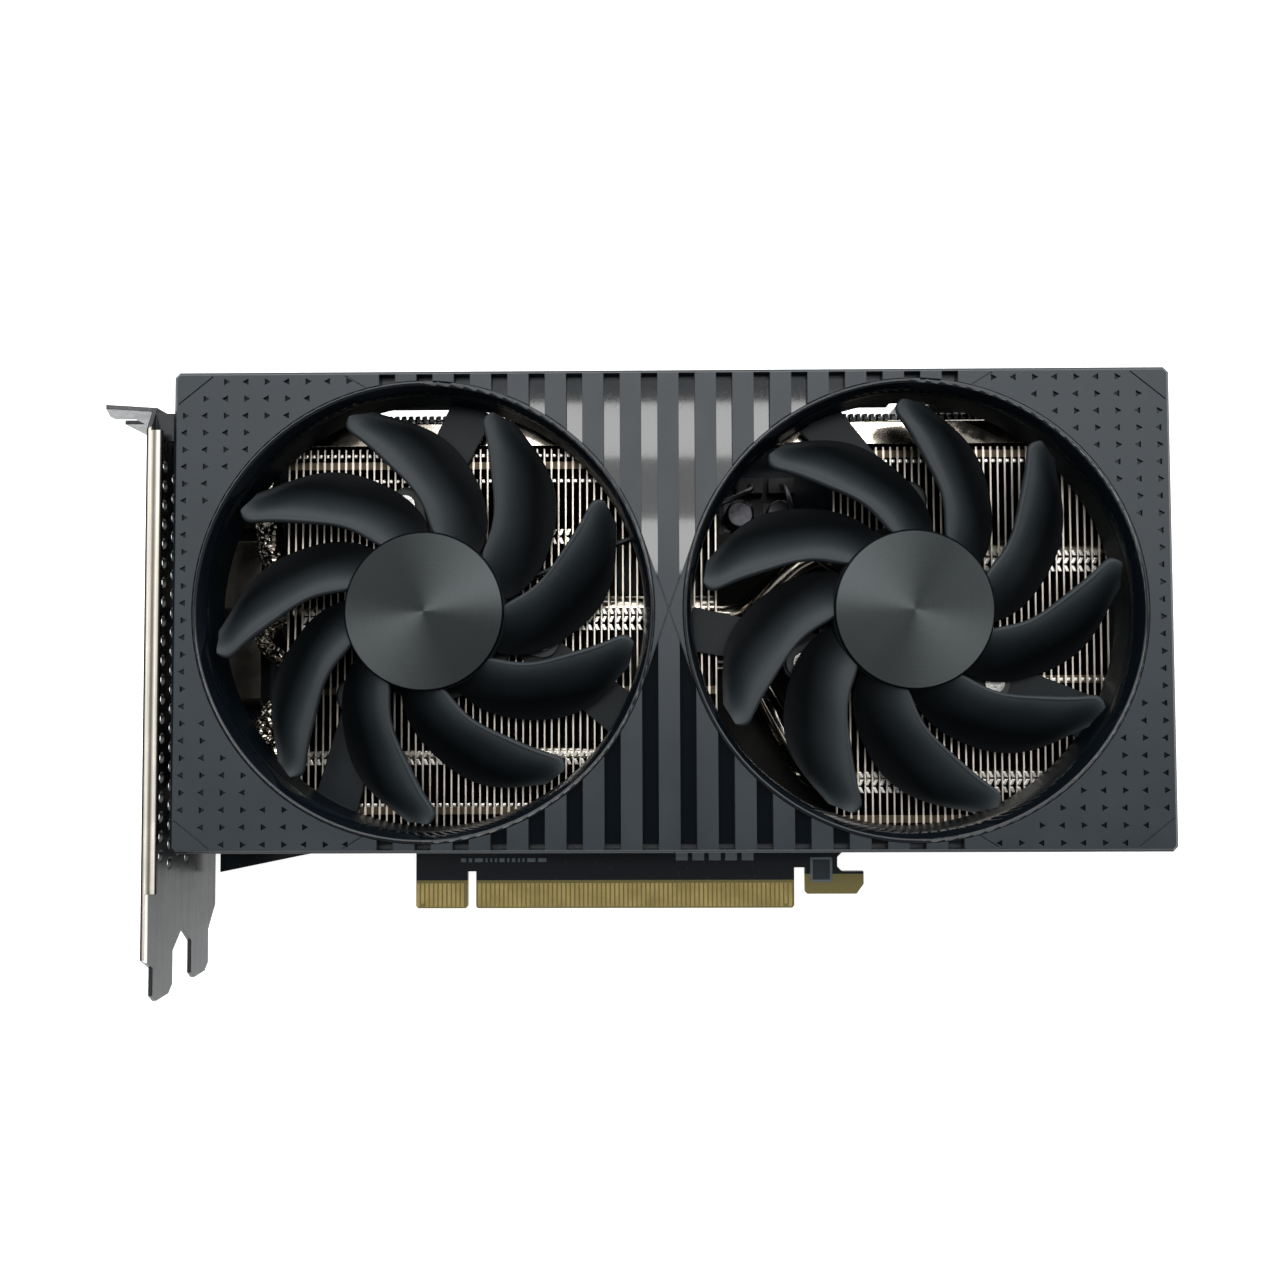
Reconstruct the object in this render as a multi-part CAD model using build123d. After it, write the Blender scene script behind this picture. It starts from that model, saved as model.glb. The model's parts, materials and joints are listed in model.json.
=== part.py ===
from build123d import *
import math
import os

# A two-slot graphics card with two fans, in millimetres.
# X runs along the card away from the bracket, Y runs up from the edge connector to the top edge,
# and Z points out of the component side towards the fans. The origin is the middle of the key
# notch, at the bottom of the connector tongue, on the component face of the board.

# Circuit board
BOARD_THICK = 1.57
BOARD_LEFT = -57.0
BOARD_RIGHT = 116.0
BOARD_LOW = 12.4
BOARD_HIGH = 111.15
KEY_HALF = 0.95
KEY_TOP = 8.25
TONGUE_LEFT = -12.6
TONGUE_RIGHT = 72.6
CONTACT_PITCH = 1.0
CONTACT_WIDE = 0.7
CONTACT_HIGH = 5.6
CONTACT_THICK = 0.04
CONTACTS_BEFORE_KEY = 11
CONTACTS_AFTER_KEY = 71

# Supplementary power socket
POWER_X = 104.0
POWER_PITCH = 4.2
POWER_BACK = 98.0
POWER_FACE = 111.2
POWER_Z = 5.6

# Bracket
SHEET = 0.86
BRACKET_X = -59.5
BRACKET_BACK = -3.97
BRACKET_DEPTH = 38.74
BRACKET_TOP = 106.68
BRACKET_HEIGHT = 120.02
SLOT_PITCH = 20.32
PRONG_WIDE = 10.19
PRONG_OFFSET = 4.115
TAB_LONG = 11.43
SCREW_NOTCH = 4.42
VENT_RADIUS = 1.2
VENT_PITCH = 4.0
VENT_ROWS = 4
VENT_LOW_Z = 13.5
VENT_ROW_PITCH = 4.6
VENT_SPAN_Y = (13.5, 99.0)
BRACKET_SCREWS = ((-53.0, 16.0), (-53.0, 106.6))
PORT_Z = 3.4
PORT_BACK = -46.3
PORT_FRONT = BRACKET_X - SHEET - 0.5
DISPLAYPORT_Y = (34.0, 54.0, 74.0)
HDMI_Y = 93.0

# Shroud
SHROUD_LEFT = -54.9
SHROUD_RIGHT = 144.1
SHROUD_LOW = 16.9
SHROUD_HIGH = 113.1
SHROUD_FRONT = 35.0
SHROUD_EDGE_Z = 7.4
SHROUD_WALL = 1.6
SKIRT_SPAN_Y = (28.0, 98.0)
SKIRT_GAP = 0.2
PLATE_BACK = SHROUD_FRONT - SHROUD_WALL
MIDDLE_X = 44.2
MIDDLE_Y = 64.9
SLOT_COUNT = 16
STRIPE_PITCH = 7.5
STRIPE_SLOT = 3.25
STRIPE_BORDER = 0.7
RIM_RADIUS = 46.2
LINE_WIDE = 0.3
LINE_DEEP = 0.25
CORNER_LINE_X = 8.8
CORNER_LINE_Y = 7.4
DOT_PITCH_X = 4.1
DOT_PITCH_Y = 3.42
DOT_SIZE = 1.35
DOT_DEEP = 0.45
DOT_COLUMNS = 9
POST_RADIUS = 2.6
SHROUD_POSTS = ((-44.5, 20.4), (-44.5, 109.3), (140.0, 22.0), (140.0, 105.0))

# Fans
FAN_PITCH = 97.8
FAN_X = {"left": MIDDLE_X - FAN_PITCH / 2, "right": MIDDLE_X + FAN_PITCH / 2}
FAN_TURN = {"left": 33.3, "right": 14.6}
BLADES = 9
HUB_RADIUS = 16.0
DUCT_BACK = 22.4
DUCT_MOUTH = 45.2
DUCT_THROAT = 44.0
FAN_BASE_Z = 22.8
FAN_EAR_RADIUS = 23.5
EAR_ANGLES = {"left": (104.0, 226.0, 346.0), "right": (87.0, 206.0, 321.0)}
ARM_ENDS = {"left": (79.0, 243.0, 332.0), "right": (113.0, 184.0, 330.0)}
SHAFT_RADIUS = 1.5
SHAFT_GAP = 0.05
HUB_TOP = 33.6
HUB_BACK = 25.4
CAP_TOP = 34.2
LEADING_Z = 33.45
BLADE_THICK = 1.5
# Blade stations: radius, then the angles of the leading and trailing edges behind the tip.
BLADE_STATIONS = (
    (15.4, -28.5, -64.0), (20.5, -21.6, -57.0), (26.0, -13.8, -46.5), (31.5, -7.0, -36.0),
    (36.5, -2.6, -25.5), (40.6, -0.4, -13.0), (42.3, -1.8, -8.4),
)
# Across a blade: share of the width from the leading edge, share of the drop, share of the thickness.
BLADE_CURVE = ((0.07, 0.0, 1.0), (0.22, 0.08, 1.0), (0.36, 0.25, 0.95), (0.6, 0.62, 0.7), (1.0, 1.0, 0.4))

CABLE_RADIUS = 0.55
CABLE_Z = 21.7
CABLE_ANGLE = {"left": 20.0, "right": 150.0}
HEADER_X = {"left": 63.0, "right": 70.0}

# Cooler
GPU_X = 18.0
GPU_Y = 62.0
SCREW_SPAN = 28.0
PIPE_RADIUS = 3.0
PIPE_BASE_Z = 6.9
PIPE_ROW_Z = 15.5
PIPE_TOP_Y = 103.4
PIPE_TOP_Z = 17.4
PIPE_FLAT = 1.9
PIPE_TURN_X = -43.0
BASE_TOP = 10.1
FIN_PITCH = 1.5
FIN_THICK = 0.35
FIN_FRONT = 21.0
FIN_LOW = 20.5
FIN_HIGH = 108.5
FINS_LEFT_X = -35.9
FINS_LEFT_COUNT = 61
FINS_RIGHT_X = 79.0
FINS_RIGHT_COUNT = 39
CHIP_TOP = 1.1
PLATE_Z = 2.2

# Back plate and screws
SCREW_HEAD = 1.0
BACKPLATE_BACK = -4.2
BACKPLATE_THICK = 1.0
BACK_VENTS = 7
BACK_VENT_X = 126.5
BACK_VENT_LOW_Y = 38.0
BACK_VENT_PITCH = 9.0
BACK_VENT_LONG = 14.0
BACK_VENT_WIDE = 3.0
BACK_VENT_TILT = 28.0
BACKPLATE_SCREWS = ((-30.0, 24.0), (-30.0, 100.0), (66.0, 20.0), (66.0, 104.0), (108.0, 18.0))


def block(x0, x1, y0, y1, z0, z1):
    middle = ((x0 + x1) / 2, (y0 + y1) / 2, (z0 + z1) / 2)
    return Pos(*middle) * Box(x1 - x0, y1 - y0, z1 - z0)


def rod(x, y, radius, z0, z1):
    return Pos(x, y, (z0 + z1) / 2) * Cylinder(radius, z1 - z0)


def tube(x, y, outer, inner, z0, z1):
    return rod(x, y, outer, z0, z1) - rod(x, y, inner, z0 - 1, z1 + 1)


def rod_along_x(y, z, radius, x0, x1):
    return Pos((x0 + x1) / 2, y, z) * Rot(0, 90, 0) * Cylinder(radius, x1 - x0)


def slab(points, z0, z1):
    return Pos(0, 0, z0) * extrude(make_face(Polyline(*points, close=True)), z1 - z0)


def slab_along_x(points, x0, x1):
    """A flat outline in Y and Z, given thickness along X."""
    plane = Plane(origin=(x0, 0, 0), x_dir=(0, 1, 0), z_dir=(1, 0, 0))
    return extrude(plane * make_face(Polyline(*points, close=True)), x1 - x0)


def polar(x, y, radius, degrees):
    angle = math.radians(degrees)
    return (x + radius * math.cos(angle), y + radius * math.sin(angle))


def group(pieces):
    return Compound(children=list(pieces))


def save(name, shape):
    export_step(shape, f"parts/{name}.step")


# ---- circuit board and what is soldered to it ----


def board_holes():
    gpu = [(GPU_X + i * SCREW_SPAN, GPU_Y + j * SCREW_SPAN) for i in (-1, 1) for j in (-1, 1)]
    left_posts = [p for p in SHROUD_POSTS if p[0] < BOARD_RIGHT]
    return gpu + left_posts + list(BACKPLATE_SCREWS) + list(BRACKET_SCREWS)


def make_board():
    outline = [
        (BOARD_LEFT, 8.2), (-38.7, 11.9), (-36.0, BOARD_LOW), (TONGUE_LEFT, BOARD_LOW),
        (TONGUE_LEFT, 0.5), (TONGUE_LEFT + 0.5, 0), (-KEY_HALF - 0.4, 0), (-KEY_HALF, 0.4),
        (-KEY_HALF, KEY_TOP), (KEY_HALF, KEY_TOP), (KEY_HALF, 0.4), (KEY_HALF + 0.4, 0),
        (TONGUE_RIGHT - 0.5, 0), (TONGUE_RIGHT, 0.5), (TONGUE_RIGHT, 9.0), (75.0, 9.0),
        (75.0, 3.6), (75.5, 3.1), (86.6, 3.1), (88.2, 5.3), (88.2, 8.1), (83.4, 8.1),
        (82.3, 9.2), (82.3, 11.3), (83.4, BOARD_LOW), (BOARD_RIGHT - 2, BOARD_LOW),
        (BOARD_RIGHT, BOARD_LOW + 2), (BOARD_RIGHT, BOARD_HIGH - 2),
        (BOARD_RIGHT - 2, BOARD_HIGH), (BOARD_LEFT + 1, BOARD_HIGH), (BOARD_LEFT, BOARD_HIGH - 1),
    ]
    board = slab(outline, -BOARD_THICK, 0)
    for x, y in board_holes():
        board -= rod(x, y, 1.4, -3, 1)
    return board


def make_contacts():
    """Both faces carry one row of contacts each, broken by the key notch."""
    first = -KEY_HALF - 0.7 - CONTACTS_BEFORE_KEY * CONTACT_PITCH + CONTACT_PITCH / 2
    before = [first + i * CONTACT_PITCH for i in range(CONTACTS_BEFORE_KEY)]
    after = [KEY_HALF + 0.75 + i * CONTACT_PITCH for i in range(CONTACTS_AFTER_KEY)]
    pieces = []
    for x in before + after:
        low = 1.0 if x in (before[1], after[-2]) else 0.35
        x0 = x - CONTACT_WIDE / 2
        x1 = x + CONTACT_WIDE / 2
        pieces.append(block(x0, x1, low, CONTACT_HIGH, 0, CONTACT_THICK))
        pieces.append(block(x0, x1, low, CONTACT_HIGH, -BOARD_THICK - CONTACT_THICK, -BOARD_THICK))
    return group(pieces)


def chip_places():
    left = [(GPU_X - 29, GPU_Y + j * 16) for j in (-0.5, 0.5)]
    right = [(GPU_X + 29, GPU_Y + j * 16) for j in (-0.5, 0.5)]
    above = [(GPU_X + i * 16, GPU_Y + 28) for i in (-0.5, 0.5)]
    return left + right + above


def make_memory_chips():
    return group(block(x - 6, x + 6, y - 7, y + 7, 0, CHIP_TOP) for x, y in chip_places())


def make_memory_pads():
    return group(block(x - 5.5, x + 5.5, y - 6.5, y + 6.5, CHIP_TOP, PLATE_Z)
                 for x, y in chip_places())


def choke_rows():
    return [26.0 + i * 10 for i in range(6)]


def make_chokes():
    pieces = []
    for y in choke_rows():
        body = block(87, 94, y - 3.5, y + 3.5, 0, 4.2)
        pieces.append(chamfer(body.edges().filter_by(Axis.Z), 0.8))
    return group(pieces)


def make_power_stages():
    return group(block(77.5, 83.5, y - 2.5, y + 2.5, 0, 0.9) for y in choke_rows())


def make_power_stage_pad():
    return block(78, 83, choke_rows()[0] - 3, choke_rows()[-1] + 3, 0.9, PLATE_Z)


def make_capacitors():
    """Polymer cans: a wider foot, a groove above it and a round can."""
    places = [(60.5, 88.0), (69.5, 88.0), (60.5, 18.4), (73.0, 18.4)]
    pieces = []
    for x, y in places:
        can = rod(x, y, 3.15, 0.6, 7.0)
        can = fillet(can.edges().sort_by(Axis.Z)[-1], 0.6)
        can -= tube(x, y, 4, 2.8, 1.6, 2.1)
        pieces.append(can + block(x - 3.3, x + 3.3, y - 3.3, y + 3.3, 0, 0.6))
    return group(pieces)


def power_cells():
    return [(POWER_X + (i - 1.5) * POWER_PITCH, POWER_Z + (j - 0.5) * POWER_PITCH)
            for i in range(4) for j in range(2)]


def make_power_socket():
    body = block(POWER_X - 9.4, POWER_X + 9.4, POWER_BACK, POWER_FACE, 0.3, 10.9)
    body += block(POWER_X - 2.5, POWER_X + 2.5, POWER_FACE - 8, POWER_FACE, 10.9, 12.1)
    for x, z in power_cells():
        body -= block(x - 1.75, x + 1.75, POWER_BACK + 2, POWER_FACE + 1, z - 1.75, z + 1.75)
    return body


def make_power_pins():
    return group(block(x - 0.5, x + 0.5, POWER_BACK + 2, POWER_FACE - 2.5, z - 0.5, z + 0.5)
                 for x, z in power_cells())


def make_fan_headers():
    """Two small plugs on the board in the gap between the fin stacks."""
    return group(block(x - 2.9, x + 2.9, 93.0, 96.4, 0, 4.5) for x in HEADER_X.values())


def cable_route(side):
    """From the fan's circuit out over its base, under the duct ring and down to the header."""
    start = polar(FAN_X[side], MIDDLE_Y, 13.55, CABLE_ANGLE[side])
    rim = polar(FAN_X[side], MIDDLE_Y, 20.4, CABLE_ANGLE[side])
    header = (HEADER_X[side], 94.7, 4.65)
    above = (HEADER_X[side], 93.6, 11.0)
    if side == "left":
        return [(*start, 24.5), (*rim, 24.4), (23.5, 76.0, CABLE_Z), (44.0, 83.5, CABLE_Z),
                (56.5, 88.5, CABLE_Z), (62.0, 91.5, 17.5), above, header]
    return [(*start, 24.5), (*rim, 24.4), (71.0, 80.5, CABLE_Z), (70.2, 89.5, 18.5), above, header]


def cable_radii(points):
    """The largest arc that each pair of runs leaves room for."""
    radii = []
    for before, corner, after in zip(points, points[1:], points[2:]):
        first = Vector(*corner) - Vector(*before)
        second = Vector(*after) - Vector(*corner)
        half_turn = math.radians(first.get_angle(second)) / 2
        radii.append(0.45 * min(first.length, second.length) / math.tan(half_turn))
    return radii


def make_cable(side):
    points = cable_route(side)
    radii = cable_radii(points)
    print("cable", side, [round(r, 1) for r in radii])
    route = FilletPolyline(*points, radius=radii)
    section = Plane(origin=route @ 0, z_dir=route % 0) * Circle(CABLE_RADIUS)
    cable = sweep(section, path=route)
    print("volume over section times length", cable.volume / (math.pi * CABLE_RADIUS ** 2 * route.length))
    return cable


# ---- display sockets and bracket ----


def displayport_outline(y, grow):
    """The mouth has one cut corner."""
    half = 16.1 / 2 + grow
    low = PORT_Z - 4.8 / 2 - grow
    high = PORT_Z + 4.8 / 2 + grow
    return [(y - half, low), (y + half, low), (y + half, high), (y - half + 2, high), (y - half, high - 2)]


def hdmi_outline(y, grow):
    """The mouth narrows towards the board."""
    half = 14.0 / 2 + grow
    low = PORT_Z - 4.5 / 2 - grow
    high = PORT_Z + 4.5 / 2 + grow
    return [(y - half + 1.9, low), (y + half - 1.9, low), (y + half, low + 1.7), (y + half, high),
            (y - half, high), (y - half, low + 1.7)]


def make_port_shell(outline, y):
    outer = slab_along_x(outline(y, 0.4), PORT_FRONT, PORT_BACK)
    return outer - slab_along_x(outline(y, 0), PORT_FRONT - 1, PORT_BACK + 1)


def make_displayport_tongue(y):
    core = slab_along_x(displayport_outline(y, 0), PORT_BACK - 3, PORT_BACK)
    return core + block(PORT_FRONT + 2.5, PORT_BACK - 3, y - 6.2, y + 6.2, PORT_Z - 0.7, PORT_Z + 0.7)


def make_hdmi_tongue(y):
    core = slab_along_x(hdmi_outline(y, 0), PORT_BACK - 3, PORT_BACK)
    return core + block(PORT_FRONT + 2.5, PORT_BACK - 3, y - 5, y + 5, PORT_Z - 0.5, PORT_Z + 0.5)


def bracket_sheet():
    """Upright sheet with two prongs below, one for each slot of the case."""
    front = BRACKET_BACK + BRACKET_DEPTH
    foot = BRACKET_TOP - BRACKET_HEIGHT
    far = BRACKET_BACK + PRONG_OFFSET
    near = far + SLOT_PITCH
    outline = [
        (0.3, BRACKET_BACK), (BRACKET_TOP - 6, BRACKET_BACK), (BRACKET_TOP, BRACKET_BACK + 3),
        (BRACKET_TOP, front - 3), (BRACKET_TOP - 5, front), (-3.9, front),
        (-6.3, near + PRONG_WIDE), (foot + 1.5, near + PRONG_WIDE), (foot, near + PRONG_WIDE - 2),
        (foot, near + 2), (foot + 1.5, near), (-5.0, near), (-1.1, (near + far + PRONG_WIDE) / 2),
        (-5.0, far + PRONG_WIDE), (foot + 1.5, far + PRONG_WIDE), (foot, far + PRONG_WIDE - 2),
        (foot, far + 2), (foot + 1.5, far), (-4.4, far),
    ]
    return slab_along_x(outline, BRACKET_X - SHEET, BRACKET_X)


def bracket_tab():
    """Top tab, bent outwards, with one open screw notch for each slot."""
    front = BRACKET_BACK + BRACKET_DEPTH
    outer = BRACKET_X - TAB_LONG
    plane = Plane(origin=(0, BRACKET_TOP - SHEET, 0), x_dir=(1, 0, 0), z_dir=(0, 1, 0))
    outline = [(BRACKET_X, -front + 3), (outer + 2.3, -front), (outer, -front + 7),
               (outer, -BRACKET_BACK - 3), (outer + 2, -BRACKET_BACK), (BRACKET_X, -BRACKET_BACK - 3)]
    tab = extrude(plane * make_face(Polyline(*outline, close=True)), SHEET)
    for middle in notch_middles():
        tab -= block(outer - 1, outer + 4.3, 100, 110, middle - SCREW_NOTCH / 2, middle + SCREW_NOTCH / 2)
    return tab


def notch_middles():
    first = BRACKET_BACK + 6.5
    return (first, first + SLOT_PITCH)


def bracket_vents():
    """Staggered round vent holes above the display sockets."""
    low, high = VENT_SPAN_Y
    count = int((high - low) / VENT_PITCH)
    holes = []
    for row in range(VENT_ROWS):
        z = VENT_LOW_Z + row * VENT_ROW_PITCH
        start = low + (row % 2) * VENT_PITCH / 2
        for column in range(count):
            y = start + column * VENT_PITCH
            holes.append(rod_along_x(y, z, VENT_RADIUS, BRACKET_X - 2, BRACKET_X + 1))
    return holes


def make_bracket():
    front = BRACKET_BACK + BRACKET_DEPTH
    bracket = bracket_sheet() + bracket_tab()
    bracket += block(BRACKET_X - SHEET, BRACKET_X + 2.2, 9.0, 101.5, front - SHEET, front)
    bracket += block(BRACKET_X - SHEET, BRACKET_X + 3.6, 99.7, 105.4, front - 3.4, front - 2.54)
    for x, y in BRACKET_SCREWS:
        ear = block(BRACKET_X - SHEET, x + 3.2, y - 3.4, y + 3.4, 0, SHEET)
        bracket += ear - rod(x, y, 1.4, -1, 2)
    for y in DISPLAYPORT_Y:
        bracket -= slab_along_x(displayport_outline(y, 0.5), BRACKET_X - 2, BRACKET_X + 1)
    bracket -= slab_along_x(hdmi_outline(HDMI_Y, 0.5), BRACKET_X - 2, BRACKET_X + 1)
    bracket -= bracket_vents()
    return bracket


def cross_screw(x, y, head_radius, head_z, shank_z, shank_radius):
    """Pan head at head_z with a cross recess, and a plain shank that ends at shank_z."""
    up = 1 if head_z > shank_z else -1
    seat = head_z - up * SCREW_HEAD
    head = rod(x, y, head_radius, min(seat, head_z), max(seat, head_z))
    recess_z = sorted((head_z - up * 0.6, head_z + up))
    head -= block(x - 0.3, x + 0.3, y - 1.1, y + 1.1, *recess_z)
    head -= block(x - 1.1, x + 1.1, y - 0.3, y + 0.3, *recess_z)
    return head + rod(x, y, shank_radius, min(shank_z, seat), max(shank_z, seat))


def make_bracket_screws():
    return group(cross_screw(x, y, 2.4, SHEET + 1.0, -BOARD_THICK, 1.25) for x, y in BRACKET_SCREWS)


# ---- cooler ----


def pipe_rows():
    """Y of each pipe where it lies in the base block."""
    return {"top": 74.0, "upper": 65.0, "lower": 56.0, "bottom": 47.0}


def pipe_route(name):
    base_y = pipe_rows()[name]
    turn = PIPE_TURN_X
    end = FINS_RIGHT_X + FINS_RIGHT_COUNT * FIN_PITCH - 0.6
    middle_end = FINS_LEFT_X + FINS_LEFT_COUNT * FIN_PITCH - 1.5
    routes = {
        "top": ([(44, base_y, PIPE_BASE_Z), (turn, base_y, PIPE_BASE_Z),
                 (turn, PIPE_TOP_Y, PIPE_TOP_Z), (end, PIPE_TOP_Y, PIPE_TOP_Z)], 7.0),
        "upper": ([(-8, base_y, PIPE_BASE_Z), (60.5, base_y, PIPE_BASE_Z),
                   (74.5, 78, PIPE_ROW_Z), (end, 78, PIPE_ROW_Z)], 9.8),
        "lower": ([(middle_end, 66.5, PIPE_ROW_Z), (turn, 66.5, PIPE_ROW_Z),
                   (turn, base_y, PIPE_BASE_Z), (60.5, base_y, PIPE_BASE_Z),
                   (74.5, 30, PIPE_ROW_Z), (end, 30, PIPE_ROW_Z)], 6.9),
        "bottom": ([(44, base_y, PIPE_BASE_Z), (turn, base_y, PIPE_BASE_Z),
                    (turn, 35, PIPE_ROW_Z), (middle_end, 35, PIPE_ROW_Z)], 6.9),
    }
    return routes[name]


def make_pipe(name):
    points, radius = pipe_route(name)
    route = FilletPolyline(*points, radius=radius)
    section = Plane(origin=route @ 0, z_dir=route % 0) * Circle(PIPE_RADIUS)
    pipe = sweep(section, path=route)
    if name == "top":
        pipe -= block(PIPE_TURN_X + 9, BOARD_RIGHT + 40, PIPE_TOP_Y - 4, PIPE_TOP_Y + 4,
                      PIPE_TOP_Z + PIPE_FLAT, PIPE_TOP_Z + 5)
    return pipe


def make_base_block():
    base = block(-10, 46, 41, 80, PLATE_Z, BASE_TOP)
    for y in pipe_rows().values():
        base -= rod_along_x(y, PIPE_BASE_Z, PIPE_RADIUS, -20, 60)
    return base


def make_cooler_frame():
    """Aluminium plate round the base block that presses on the memory and the power stages."""
    frame = block(-24, 56, 31, 96, PLATE_Z, PLATE_Z + 1.4)
    frame += block(56, 84.5, 22, 84, PLATE_Z, PLATE_Z + 1.4)
    frame -= block(-10.2, 46.2, 40.8, 80.2, 0, 6)
    for x in (GPU_X - SCREW_SPAN, GPU_X + SCREW_SPAN):
        for y in (GPU_Y - SCREW_SPAN, GPU_Y + SCREW_SPAN):
            frame += rod(x, y, 3.2, 0, PLATE_Z)
            frame -= rod(x, y, 1.25, -1, PLATE_Z + 0.8)
    return frame


def fin_outline(step_z, foot_z, foot_y):
    """One fin in Y and Z: a step at the top for the pipe, and relief below for the base."""
    step_y = PIPE_TOP_Y - PIPE_RADIUS - 0.4
    return [(FIN_LOW, foot_z[0]), (foot_y[0], foot_z[0]), (foot_y[0], BASE_TOP), (foot_y[1], BASE_TOP),
            (foot_y[1], foot_z[1]), (FIN_HIGH, foot_z[1]), (FIN_HIGH, step_z), (step_y, step_z),
            (step_y, FIN_FRONT), (FIN_LOW, FIN_FRONT)]


def make_fins(first_x, count, holes, foot_z, foot_y, link_rows):
    """Stamped fins on one pitch, joined by the folded edges that hook into each other."""
    outline = fin_outline(PIPE_TOP_Z - PIPE_RADIUS, foot_z, foot_y)
    fin = slab_along_x(outline, 0, FIN_THICK)
    for y, z in holes:
        fin -= rod_along_x(y, z, PIPE_RADIUS, -1, 1)
    length = (count - 1) * FIN_PITCH + FIN_THICK
    links = [block(first_x, first_x + length, y - 0.8, y + 0.8, FIN_FRONT - 0.3, FIN_FRONT)
             for y in link_rows]
    links.append(block(first_x, first_x + length, foot_y[0], foot_y[1], BASE_TOP, BASE_TOP + 0.3))
    fins = [Pos(first_x + i * FIN_PITCH, 0, 0) * fin for i in range(count)]
    return fins[0].fuse(*fins[1:], *links)


def make_left_fins():
    holes = [(66.5, PIPE_ROW_Z), (35.0, PIPE_ROW_Z)]
    return make_fins(FINS_LEFT_X, FINS_LEFT_COUNT, holes, (4.8, 4.8), (38, 84), (24.0, 49.0, 96.5))


def make_right_fins():
    holes = [(78.0, PIPE_ROW_Z), (30.0, PIPE_ROW_Z)]
    return make_fins(FINS_RIGHT_X, FINS_RIGHT_COUNT, holes, (9.0, 12.8), (24, 92),
                     (22.0, 51.0, 98.5))


# ---- shroud ----


def stripe_middles():
    return [MIDDLE_X + (i - (SLOT_COUNT - 1) / 2) * STRIPE_PITCH for i in range(SLOT_COUNT)]


def waist():
    """Bow tie between the fans: lines from the middle that touch both rims."""
    lean = math.degrees(math.acos(RIM_RADIUS / (FAN_PITCH / 2)))
    left = FAN_X["left"]
    right = FAN_X["right"]
    return [
        (MIDDLE_X, MIDDLE_Y), polar(left, MIDDLE_Y, RIM_RADIUS, lean),
        polar(left, MIDDLE_Y, RIM_RADIUS - 8, 0), polar(left, MIDDLE_Y, RIM_RADIUS, -lean),
        (MIDDLE_X, MIDDLE_Y), polar(right, MIDDLE_Y, RIM_RADIUS, 180 + lean),
        polar(right, MIDDLE_Y, RIM_RADIUS - 8, 180), polar(right, MIDDLE_Y, RIM_RADIUS, 180 - lean),
    ]


def fan_discs(radius, z0, z1):
    return [rod(x, MIDDLE_Y, radius, z0, z1) for x in FAN_X.values()]


def stripe_cutter():
    low = SHROUD_LOW + STRIPE_BORDER
    high = SHROUD_HIGH - STRIPE_BORDER
    z0 = PLATE_BACK - 1
    z1 = SHROUD_FRONT + 1
    half = STRIPE_SLOT / 2
    slots = [block(x - half, x + half, low, high, z0, z1) for x in stripe_middles()]
    points = waist()
    cutter = slots[0].fuse(*slots[1:])
    return cutter - [slab(points[:4], z0, z1), slab(points[4:], z0, z1)]


def groove(start, end):
    """A fine V line is kept as a narrow square groove."""
    dx = end[0] - start[0]
    dy = end[1] - start[1]
    length = math.hypot(dx, dy)
    middle = ((start[0] + end[0]) / 2, (start[1] + end[1]) / 2, SHROUD_FRONT)
    return Pos(*middle) * Rot(0, 0, math.degrees(math.atan2(dy, dx))) * Box(length, LINE_WIDE, 2 * LINE_DEEP)


def panel_lines():
    lines = []
    for x, side in ((SHROUD_LEFT, 1), (SHROUD_RIGHT, -1)):
        for y, up in ((SHROUD_LOW, 1), (SHROUD_HIGH, -1)):
            corner_a = (x + side * 1.0, y + up * (CORNER_LINE_Y - 0.8))
            corner_b = (x + side * (CORNER_LINE_X - 0.9), y + up * 1.0)
            lines.append(groove(corner_a, corner_b))
            inner = MIDDLE_X - side * (SLOT_COUNT / 2 * STRIPE_PITCH)
            lines.append(groove((inner - side * 4.6, y + up * 1.0), (inner + side * 0.3, y + up * 4.0)))
    points = waist()
    for tip in (points[1], points[3], points[5], points[7]):
        lines.append(groove((MIDDLE_X, MIDDLE_Y), tip))
    return lines


def dot_places():
    """Small triangles that point left and right by turns, kept clear of the rims and the lines."""
    places = []
    rows = int((SHROUD_HIGH - SHROUD_LOW - 3) / DOT_PITCH_Y)
    for side, edge in ((1, SHROUD_LEFT), (-1, SHROUD_RIGHT)):
        for column in range(DOT_COLUMNS):
            x = edge + side * (2.3 + column * DOT_PITCH_X)
            for row in range(rows + 1):
                y = MIDDLE_Y + (row - rows / 2) * DOT_PITCH_Y
                if dot_is_clear(x, y):
                    places.append((x, y, (row + column) % 2))
    return places


def dot_is_clear(x, y):
    from_side = min(x - SHROUD_LEFT, SHROUD_RIGHT - x)
    from_end = min(y - SHROUD_LOW, SHROUD_HIGH - y)
    in_corner = from_side / CORNER_LINE_X + from_end / CORNER_LINE_Y < 1.18
    in_line = from_side + 1.6 * from_end > 43.5 and from_end < 6
    from_fans = min(math.hypot(x - fan, y - MIDDLE_Y) for fan in FAN_X.values())
    return not in_corner and not in_line and from_fans > RIM_RADIUS + 1.6


def dot_cutter():
    triangles = []
    for x, y, flip in dot_places():
        tip = DOT_SIZE * (0.6 if flip else -0.6)
        points = [(x + tip, y), (x - tip / 2, y + DOT_SIZE / 2), (x - tip / 2, y - DOT_SIZE / 2)]
        triangles.append(make_face(Polyline(*points, close=True)))
    flat = Sketch() + triangles
    return Pos(0, 0, SHROUD_FRONT - DOT_DEEP) * extrude(flat, 1)


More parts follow.
